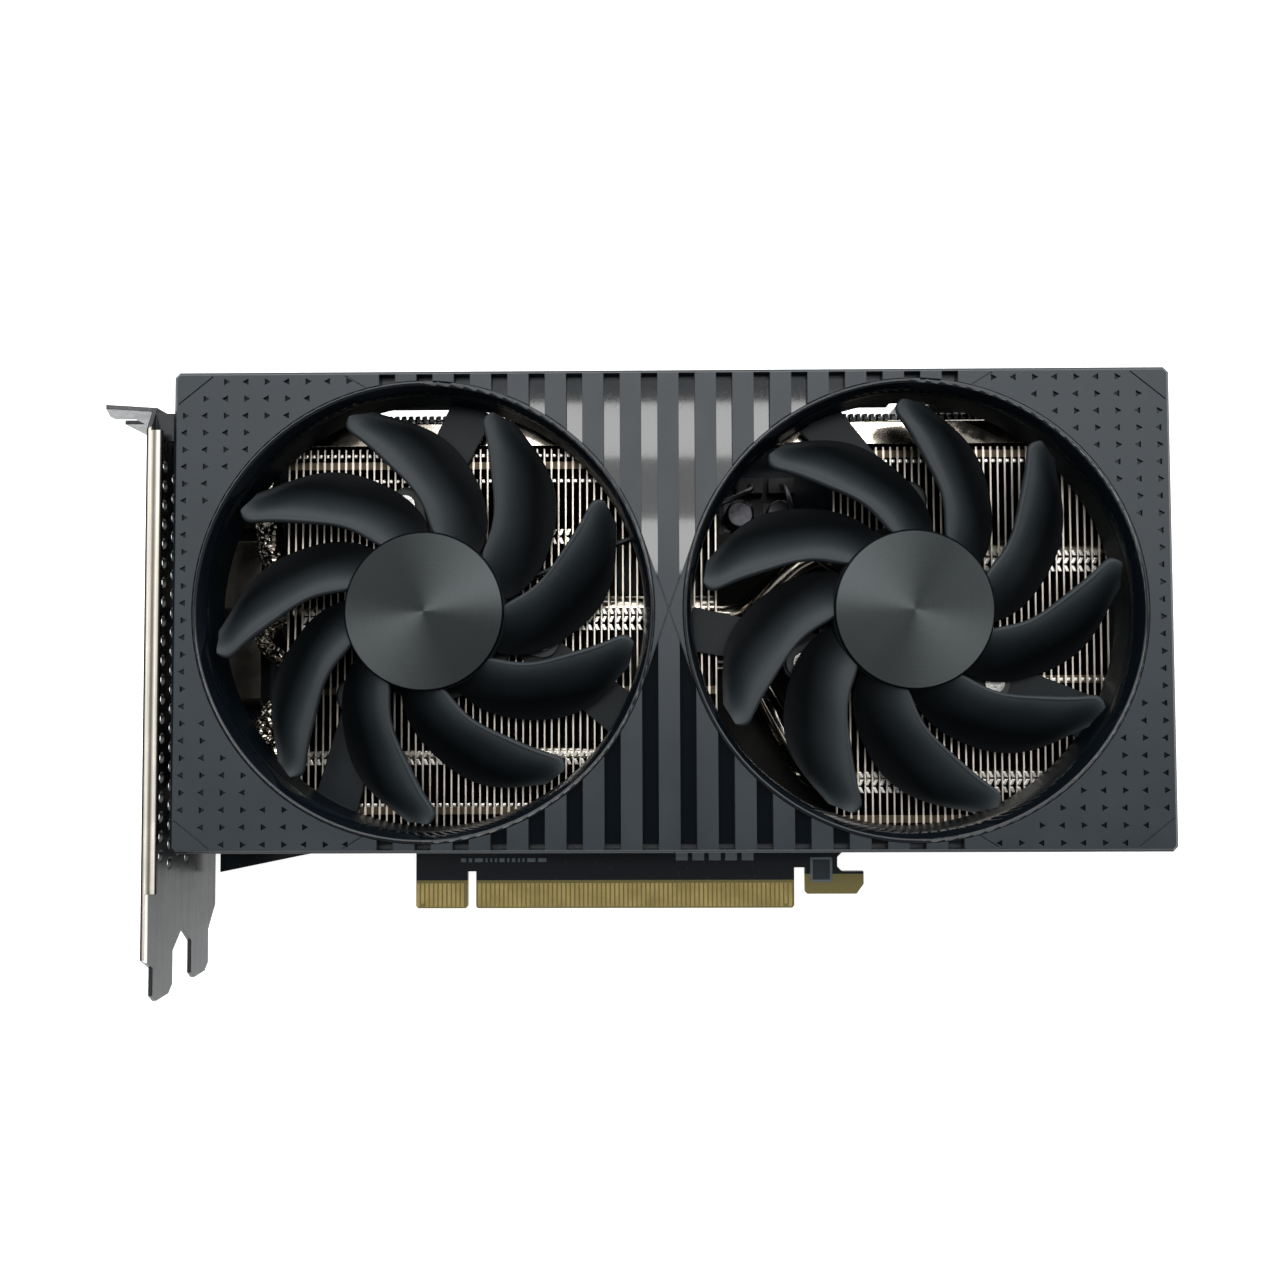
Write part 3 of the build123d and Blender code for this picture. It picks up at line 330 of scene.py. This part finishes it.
def fin_aluminium(name, first):
    """Stamped fins: bright cut edges in front, painted dark below them as shade, with folded links in a
    bronze tone kept dark as painted shade between the edges.
    """
    look = metal(name, (0.80, 0.72, 0.62), 0.40, (300.0, 4000.0, 4000.0), 0.002, tarnish=0.85)
    edge_end = FIN_THICK + 2 * FIN_EDGE
    bright = look.fed("Base Color")
    link = look.rise(past_fin(look, first), (edge_end, edge_end + FIN_EDGE))
    bronze_and_gap_shade = look.mix(look.noise(900.0), (0.03, 0.024, 0.018), (0.12, 0.09, 0.06))
    # Below the fins' front the colour turns dark: painted shade between the fins.
    deep = look.fall(look.axis("Z"), FIN_SHADE_Z)
    look.set("Base Color", look.mix(deep, look.mix(link, bright, bronze_and_gap_shade), (0.018, 0.018, 0.019)))
    return look


def pipe_nickel(name):
    """Plated pipe, hammered where it was bent."""
    look = metal(name, (0.76, 0.68, 0.57), 0.14, (260.0, 260.0, 260.0), 0.003, tarnish=0.7)
    dents = look.spots(900.0)
    bent = look.fall(look.axis("X"), PIPE_BENT_X)
    look.set("Normal", look.bump(look.maths("MULTIPLY", dents, bent), 0.5 * MM, look.fed("Normal")))
    return look


def bracket_nickel(name):
    """Plated steel painted dark over its body as shade; the folded lip in front carries two painted
    highlight lines, a darker valley between them and painted shade at its borders.
    """
    # The body's dark colour is a painted shade; the lip shows the same metal as if lit.
    look = metal(name, (0.044, 0.045, 0.046), 0.3, (900.0, 60.0, 900.0), 0.003, tarnish=0.86, radius=0.25)
    reach = look.maths("ABSOLUTE", look.maths("SUBTRACT", look.axis("X"), LIP_MIDDLE * MM))
    streaks = look.noise(1.0, 3.0, 0.6, look.stretched((2600.0, 14.0, 300.0)))
    # Painted highlight: two warm bright lines along the lip, with a darker valley and painted shade at the
    # borders.
    lip_highlight = look.mix(look.between(streaks, 0.0, 1.0, 0.35, 0.65), (0.55, 0.50, 0.42), (0.92, 0.87, 0.78))
    lip_highlights_and_valley = look.mix(look.rise(reach, LIP_VALLEY), (0.17, 0.15, 0.13), lip_highlight)
    painted_edges = look.mix(look.rise(reach, LIP_BORDER), lip_highlights_and_valley, (0.018, 0.015, 0.013))
    lip = look.maths("MULTIPLY", look.rise(look.axis("Z"), LIP_Z), look.fall(look.axis("Y"), LIP_END_Y))
    look.set("Base Color", look.mix(lip, look.fed("Base Color"), painted_edges))
    return look


def solder_mask(look, mask, near):
    """Colour and relief of the mask: traces, round vias and worn edges."""
    runs = look.add("TexBrick", {"Vector": look.stretched((1.0, 1.0, 1.0), 0.6), "Scale": 420.0,
                                 "Mortar Size": 0.16, "Color1": (1, 1, 1, 1), "Color2": (0.8, 0.8, 0.8, 1),
                                 "Mortar": (0, 0, 0, 1)}).outputs["Color"]
    vias = look.between(look.spots(520.0), 1.0, 0.0, 0.10, 0.16)
    tint = look.mix(runs, mask, shade(mask, 1.9))
    tint = look.mix(vias, tint, (0.016, 0.020, 0.022))
    return look.mix(near, tint, shade(mask, 3.0)), runs


def board_black(name):
    """Black solder mask over traces, with bare yellowish laminate round the contacts and hook."""
    mask = (0.0035, 0.0068, 0.0110)
    bare = (0.25, 0.21, 0.075)
    look = Look(name, mask, roughness=0.34, Specular_IOR_Level=0.3)
    weave = look.noise(1.0, 2.0, 0.5, look.stretched((2200.0, 2200.0, 300.0)))
    rounded, near = look.edges(0.15 * MM)
    masked, runs = solder_mask(look, mask, near)
    low = look.fall(look.axis("Y"), BARE_EDGE_Y)
    hook = look.maths("MULTIPLY", look.fall(look.axis("Y"), HOOK_Y), look.rise(look.axis("X"), HOOK_X))
    olive = look.mix(weave, shade(bare, 0.7), shade(bare, 1.25))
    look.set("Base Color", look.mix(look.maths("MAXIMUM", low, hook), masked, olive))
    look.set("Roughness", look.between(weave, 0.28, 0.44, 0.3, 0.7))
    look.set("Normal", look.bump(runs, 0.03 * MM, rounded))
    return look


def gold_contacts(name):
    return metal(name, (0.56, 0.43, 0.165), 0.42, (3000.0, 200.0, 3000.0), 0.002, tarnish=0.78, radius=0.1)


def backplate_black(name):
    """Brushed and anodised sheet."""
    look = moulded(name, (0.012, 0.014, 0.016), 0.38, 2600.0, 0.006, edge_wear_and_glint=4.0, radius=0.2)
    lines = look.noise(1.0, 4.0, 0.7, look.stretched((40.0, 5200.0, 40.0)))
    look.set("Normal", look.bump(lines, 0.004 * MM, look.fed("Normal")))
    look.set("Roughness", look.between(lines, 0.30, 0.46, 0.3, 0.7))
    return look


def silicon(name):
    return metal(name, (0.20, 0.21, 0.24), 0.09, (60.0, 60.0, 60.0), 0.0005, tarnish=0.9, spread=0.03)


def thermal_pad(name):
    """Putty-like pad with a pebbled face."""
    return moulded(name, (0.36, 0.38, 0.42), 0.85, 1500.0, 0.05, edge_wear_and_glint=1.05)


# Colour, roughness, grain and depth of the grain in millimetres.
PLASTICS = {
    "chip_black": ((0.014, 0.014, 0.015), 0.5, 3000.0, 0.010),
    "connector_black": ((0.010, 0.010, 0.011), 0.42, 2600.0, 0.008),
    "carrier_black": ((0.010, 0.012, 0.013), 0.42, 3000.0, 0.010),
    "fan_board": ((0.012, 0.045, 0.030), 0.35, 1800.0, 0.006),
    "magnet_dark": ((0.030, 0.028, 0.027), 0.6, 2400.0, 0.012),
    "connector_grey": ((0.035, 0.034, 0.032), 0.45, 2600.0, 0.008),
    "cable_black": ((0.008, 0.008, 0.009), 0.36, 1400.0, 0.008),
    "screw_black": ((0.014, 0.014, 0.015), 0.36, 1800.0, 0.006),
}
# Colour, roughness and grain along each axis.
METALS = {
    # can_metal is kept dark: a painted shade for the cans lying under the cover.
    "can_metal": ((0.055, 0.055, 0.06), 0.32, (900.0, 900.0, 200.0)),
    "pin_metal": ((0.72, 0.70, 0.66), 0.25, (1200.0, 300.0, 1200.0)),
    "shell_metal": ((0.19, 0.175, 0.15), 0.34, (900.0, 2600.0, 2600.0)),
    "screw_steel": ((0.72, 0.71, 0.68), 0.22, (1400.0, 1400.0, 300.0)),
    "base_nickel": ((0.66, 0.63, 0.58), 0.26, (1800.0, 160.0, 1800.0)),
    "frame_aluminium": ((0.022, 0.021, 0.020), 0.5, (900.0, 900.0, 900.0)),
    "bearing_brass": ((0.62, 0.42, 0.18), 0.35, (900.0, 900.0, 300.0)),
    "stator_steel": ((0.42, 0.43, 0.45), 0.42, (300.0, 300.0, 2800.0)),
    "coil_copper": ((0.72, 0.30, 0.14), 0.3, (300.0, 300.0, 3400.0)),
}
SPECIAL = (shroud_matte, shroud_gloss, rotor_black, cap_spun, pipe_nickel, bracket_nickel,
           board_black, gold_contacts, backplate_black, silicon, thermal_pad)


def make_looks():
    looks = {make.__name__: make(make.__name__) for make in SPECIAL}
    for name, (colour, roughness, grain, depth) in PLASTICS.items():
        looks[name] = moulded(name, colour, roughness, grain, depth)
    for name, (colour, roughness, grain) in METALS.items():
        looks[name] = metal(name, colour, roughness, grain)
    for side, (corner, _) in FIN_STACKS.items():
        looks[f"fin_stack_{side}"] = fin_aluminium(f"fin_aluminium_{side}", corner.x)
    return {name: look.material for name, look in looks.items()}


def dress(looks):
    for node, thing in NODES.items():
        thing.data.materials.clear()
        thing.data.materials.append(looks.get(node) or looks[SLOT_OF[node]])


# ---- small pieces on the fins and the board ----

TAB_TOP = FIN_FRONT + 0.06
TAB_FOOT = FIN_FRONT - 0.7
TAB_START = 0.3
TAB_WIDE = 0.78
TAB_GAP = 0.16
TAB_LEAN = 0.3
SHOULDER = 0.12
# Collars where the pipes pass: low Y, high Y, first X, last X and the rows of folded tabs.
COLLARS = {
    "left": ((61.4, 66.4, -34.0, 54.0, 3), (33.3, 36.6, -34.0, 54.0, 2), (79.6, 83.2, 18.2, 25.0, 2)),
    "right": ((73.3, 78.3, 80.0, 136.0, 3), (27.2, 32.0, 80.0, 136.0, 3)),
}
# Short tabs on the fins' lower step behind the top pipe: first X, last X, and low Y, high Y of each row.
COMB_SPANS = {"left": (-34.0, 52.0), "right": (80.0, 134.0)}
COMB_ROWS = ((106.3, 107.3), (107.5, 108.6))
COMB_FOOT = 13.9
COMB_TOP = 14.6
COMB_WIDE = 0.8
# Middle Y of each row of dimples, and a dimple's place in the gap, width and half length.
DOT_ROWS = {"left": (93.2, 98.6, 25.1), "right": (97.0, 50.9, 20.1)}
DOT_START = 0.32
DOT_WIDE = 0.85
DOT_HALF = 0.45
# Marks on the board: low Y, first X, last X and height of each row, and the row of square blocks.
PRINT_Z = 0.02
PRINT_ROWS = ((10.3, -2.5, 16.5, 0.9), (13.1, 7.0, 12.0, 0.5), (12.5, -24.0, -8.0, 0.4))
PRINT_WIDTHS = (0.5, 0.8, 1.2, 1.9)
PRINT_GAP = 0.55
PRINT_SEED = 7
BLOCK_COUNT = 5
BLOCK_START = (46.0, 10.6)
BLOCK_PITCH = 3.7
BLOCK_SIZE = (2.7, 2.4)
PAD_PLACE = (78.7, 8.5)
PAD_SIZE = (5.0, 5.6)
PAD_BORDER = 0.6
INK_BEVEL = 0.002


def raise_block(mesh, corners, foot, top, inset=0.12):
    """A small pressed tab over four corners, its top drawn in a little."""
    middle_x = sum(x for x, _ in corners) / 4
    middle_y = sum(y for _, y in corners) / 4
    rings = []
    for z, share in ((foot, 0.0), (top - SHOULDER, 0.0), (top, inset)):
        ring = [mesh.verts.new(((x + (middle_x - x) * share) * MM, (y + (middle_y - y) * share) * MM,
                                z * MM)) for x, y in corners]
        rings.append(ring)
    for low, high in zip(rings, rings[1:]):
        for i in range(4):
            j = (i + 1) % 4
            mesh.faces.new((low[i], low[j], high[j], high[i]))
    mesh.faces.new(rings[-1])
    mesh.faces.new(rings[0][::-1])


def rectangle(x, y, wide, high):
    return (x, y), (x + wide, y), (x + wide, y + high), (x, y + high)


def fin_gaps(side):
    """X of the left face of each fin that has another to its right."""
    low, high = FIN_STACKS[side]
    gaps = round((high.x - low.x) / (FIN_PITCH * MM))
    return [low.x / MM + i * FIN_PITCH for i in range(gaps)]


def finish_piece(name, mesh, material, body, bevel=0.06):
    data = bpy.data.meshes.new(name)
    mesh.to_mesh(data)
    mesh.free()
    piece = bpy.data.objects.new(name, data)
    data.materials.append(material)
    bpy.context.scene.collection.objects.link(piece)
    soft = piece.modifiers.new("soft_edges", "BEVEL")
    soft.width = bevel * MM
    soft.segments = 2
    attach(piece, body)
    return piece


def collar(name, side, low, high, start, end, rows, material):
    """Folded tabs that lean to and fro, one in each gap between two fins."""
    mesh = bmesh.new()
    step = (high - low) / rows
    for fin in fin_gaps(side):
        x = fin + TAB_START
        if not start <= x <= end - FIN_PITCH:
            continue
        for row in range(rows):
            y0 = low + row * step + TAB_GAP
            y1 = y0 + step - 2 * TAB_GAP
            way = TAB_LEAN if row % 2 else -TAB_LEAN
            far = x + TAB_WIDE
            corners = ((x - way, y0), (far - way, y0), (far + way, y1), (x + way, y1))
            raise_block(mesh, corners, TAB_FOOT, TAB_TOP)
    return finish_piece(name, mesh, material, "card")


def comb(name, side, material):
    """Two rows of short tabs on the fins' step."""
    mesh = bmesh.new()
    start, end = COMB_SPANS[side]
    for fin in fin_gaps(side):
        x = fin + TAB_START
        if start <= x <= end:
            for low, high in COMB_ROWS:
                raise_block(mesh, rectangle(x, low, COMB_WIDE, high - low), COMB_FOOT, COMB_TOP)
    return finish_piece(name, mesh, material, "card")


def dot_row(name, side, y, material):
    """Small pressed dimples that lock each fin to the next."""
    mesh = bmesh.new()
    for fin in fin_gaps(side):
        corners = rectangle(fin + DOT_START, y - DOT_HALF, DOT_WIDE, 2 * DOT_HALF)
        raise_block(mesh, corners, TAB_FOOT, TAB_TOP, 0.35)
    return finish_piece(name, mesh, material, "card", 0.1)


def make_fin_details(bright):
    for side in FIN_STACKS:
        for index, place in enumerate(COLLARS[side], 1):
            collar(f"collar_{side}_{index}", side, *place, bright)
        for index, y in enumerate(DOT_ROWS[side], 1):
            dot_row(f"dimples_{side}_{index}", side, y, bright)
        comb(f"comb_{side}", side, bright)


def flat_mark(mesh, x, y, wide, high):
    raise_block(mesh, rectangle(x, y, wide, high), 0.0, PRINT_Z, 0.0)


def make_print(ink):
    """Printed dashes along the board's low edge: plain bars, no lettering."""
    chance = random.Random(PRINT_SEED)
    mesh = bmesh.new()
    for y, start, end, high in PRINT_ROWS:
        x = start
        while x < end:
            wide = chance.choice(PRINT_WIDTHS)
            flat_mark(mesh, x, y, wide, high)
            x += wide + PRINT_GAP
    for i in range(BLOCK_COUNT):
        flat_mark(mesh, BLOCK_START[0] + i * BLOCK_PITCH, BLOCK_START[1], *BLOCK_SIZE)
    return finish_piece("board_print", mesh, ink, "card", bevel=INK_BEVEL)


def make_pad(ink, dark):
    """Square pad beside the notch: a border round a darker window."""
    wide, high = PAD_SIZE
    left = PAD_PLACE[0] - wide / 2
    low = PAD_PLACE[1] - high / 2
    inner_wide = wide - 2 * PAD_BORDER
    inner_high = high - 2 * PAD_BORDER
    border = bmesh.new()
    for y in (low, low + high - PAD_BORDER):
        flat_mark(border, left, y, wide, PAD_BORDER)
    for x in (left, left + wide - PAD_BORDER):
        flat_mark(border, x, low + PAD_BORDER, PAD_BORDER, inner_high)
    finish_piece("pad_frame", border, ink, "card", bevel=INK_BEVEL)
    window = bmesh.new()
    flat_mark(window, left + PAD_BORDER, low + PAD_BORDER, inner_wide, inner_high)
    return finish_piece("pad_window", window, dark, "card", bevel=INK_BEVEL)


def make_details():
    # The tabs are brighter than the fins' own metal: a painted highlight.
    bright = metal("fin_tabs", (0.97, 0.93, 0.86), 0.3, (900.0, 900.0, 900.0), 0.004, tarnish=0.7)
    ink = moulded("board_ink", (0.16, 0.19, 0.20), 0.55, 3000.0, 0.003, edge_wear_and_glint=1.1)
    dark = moulded("pad_glaze", (0.022, 0.030, 0.038), 0.3, 3000.0, 0.003, edge_wear_and_glint=1.2)
    make_fin_details(bright.material)
    make_print(ink.material)
    make_pad(ink.material, dark.material)


# ---- floor, light and camera ----

CAMERA_PLACE = (0.0409347, 0.0490539, 0.2748294)
CAMERA_TURN = (-0.0411, -0.0104, 0.0038)
CAMERA_LENS = 34.07
CAMERA_SENSOR = 36.0
CAMERA_CLIP = (0.01, 50.0)
FLOOR_SIZE = 12.0
FLOOR_GLOW = 0.85
FLOOR_GAP = 0.05 * MM

# The room's brightness in each direction, and where it changes along the direction's Y or Z.
ROOM_LOW = 0.7
ROOM_MID = 0.95
ROOM_TOP = 0.10
ROOM_NEAR = 0.28
ROOM_FAR = 1.5
HORIZON = 0.95
WALL = 1.3
LOW_RING_Z = (0.25, 0.70)
OVERHEAD_Z = (0.90, 0.985)
SLOPE_Y = (-0.5, 0.5)
HORIZON_Z = (0.06, 0.22)
WALL_Y = (0.15, 0.5)
WALL_TOP_Z = (0.95, 0.6)

# Soft boxes over the card, in metres: low X, high X, low Y, high Y and how bright.
PANEL_Z = 1.0
PANELS = {
    "window_low": (-0.16, 0.30, 0.166, 0.220, 10.0),
    "window_bar": (-0.16, 0.30, 0.220, 0.282, 2.8),
    "window_high": (-0.16, 0.30, 0.282, 0.338, 10.0),
    "window_wall": (-0.30, 0.40, 0.338, 0.480, 0.9),
    "right_wall": (0.50, 0.72, 0.12, 0.46, 3.0),
    "far_wall": (-0.36, -0.04, 0.56, 0.86, 3.0),
    "side_strip": (-0.53, -0.40, -0.40, 0.50, 1.6),
}


def make_floor():
    look = Look("floor_paper", (0.86, 0.86, 0.86), roughness=0.9)
    look.set("Base Color", look.mix(look.noise(3.0), (0.85, 0.85, 0.85), (0.87, 0.87, 0.87)))
    look.set("Emission Color", (1.0, 1.0, 1.0, 1.0))
    look.set("Emission Strength", FLOOR_GLOW)
    mesh = bpy.data.meshes.new("floor")
    half = FLOOR_SIZE / 2
    corners = [(-half, -half, 0), (half, -half, 0), (half, half, 0), (-half, half, 0)]
    mesh.from_pydata(corners, [], [(0, 1, 2, 3)])
    floor = bpy.data.objects.new("floor", mesh)
    floor.location.z = cad_low.z - FLOOR_GAP
    mesh.materials.append(look.material)
    bpy.context.scene.collection.objects.link(floor)


def ramp(tree, source, span, low, high):
    """A smooth step from low to high over the span."""
    node = tree.nodes.new("ShaderNodeMapRange")
    node.interpolation_type = "SMOOTHSTEP"
    for socket, value in (("From Min", span[0]), ("From Max", span[1]), ("To Min", low), ("To Max", high)):
        node.inputs[socket].default_value = value
    tree.links.new(source, node.inputs["Value"])
    return node.outputs["Result"]


def combine(tree, operation, a, b):
    node = tree.nodes.new("ShaderNodeMath")
    node.operation = operation
    tree.links.new(a, node.inputs[0])
    tree.links.new(b, node.inputs[1])
    return node.outputs[0]


def room_strength(tree):
    """Dim straight overhead and brighter beyond the top edge, where a pale wall stands."""
    place = tree.nodes.new("ShaderNodeTexCoord").outputs["Generated"]
    split = tree.nodes.new("ShaderNodeSeparateXYZ")
    tree.links.new(place, split.inputs["Vector"])
    up = split.outputs["Z"]
    away = split.outputs["Y"]
    low_ring = ramp(tree, up, LOW_RING_Z, ROOM_LOW, ROOM_MID)
    overhead = ramp(tree, up, OVERHEAD_Z, 1.0, ROOM_TOP / ROOM_MID)
    slope = ramp(tree, away, SLOPE_Y, ROOM_NEAR, ROOM_FAR)
    room = combine(tree, "MULTIPLY", combine(tree, "MULTIPLY", low_ring, overhead), slope)
    room = combine(tree, "MAXIMUM", room, ramp(tree, up, HORIZON_Z, HORIZON, 0.0))
    wall = combine(tree, "MULTIPLY", ramp(tree, away, WALL_Y, 0.0, WALL),
                   ramp(tree, up, WALL_TOP_Z, 0.0, 1.0))
    return combine(tree, "ADD", room, wall)


def make_world():
    """A white room."""
    world = bpy.data.worlds.new("studio")
    bpy.context.scene.world = world
    world.use_nodes = True
    tree = world.node_tree
    background = tree.nodes["Background"]
    background.inputs["Color"].default_value = (0.95, 0.98, 1.0, 1.0)
    tree.links.new(room_strength(tree), background.inputs["Strength"])


def panel(name, x0, x1, y0, y1, radiance):
    """A soft box facing down."""
    light = bpy.data.lights.new(name, "AREA")
    light.shape = "RECTANGLE"
    light.size = x1 - x0
    light.size_y = y1 - y0
    light.energy = radiance * math.pi * light.size * light.size_y
    thing = bpy.data.objects.new(name, light)
    thing.location = ((x0 + x1) / 2, (y0 + y1) / 2, PANEL_Z)
    bpy.context.scene.collection.objects.link(thing)


def make_lights():
    for name, place in PANELS.items():
        panel(name, *place)


def make_camera():
    data = bpy.data.cameras.new("camera")
    data.sensor_width = CAMERA_SENSOR
    data.lens = CAMERA_LENS
    data.clip_start, data.clip_end = CAMERA_CLIP
    camera = bpy.data.objects.new("camera", data)
    turn = Vector(CAMERA_TURN)
    rotation = Matrix.Rotation(turn.length, 4, turn.normalized()).transposed()
    camera.matrix_world = Matrix.Translation(CAMERA_PLACE) @ rotation
    bpy.context.scene.collection.objects.link(camera)
    bpy.context.scene.camera = camera


def main():
    make_camera()
    make_world()
    make_lights()
    make_floor()
    dress(make_looks())
    make_details()
    bpy.context.scene.view_settings.view_transform = "Standard"


main()
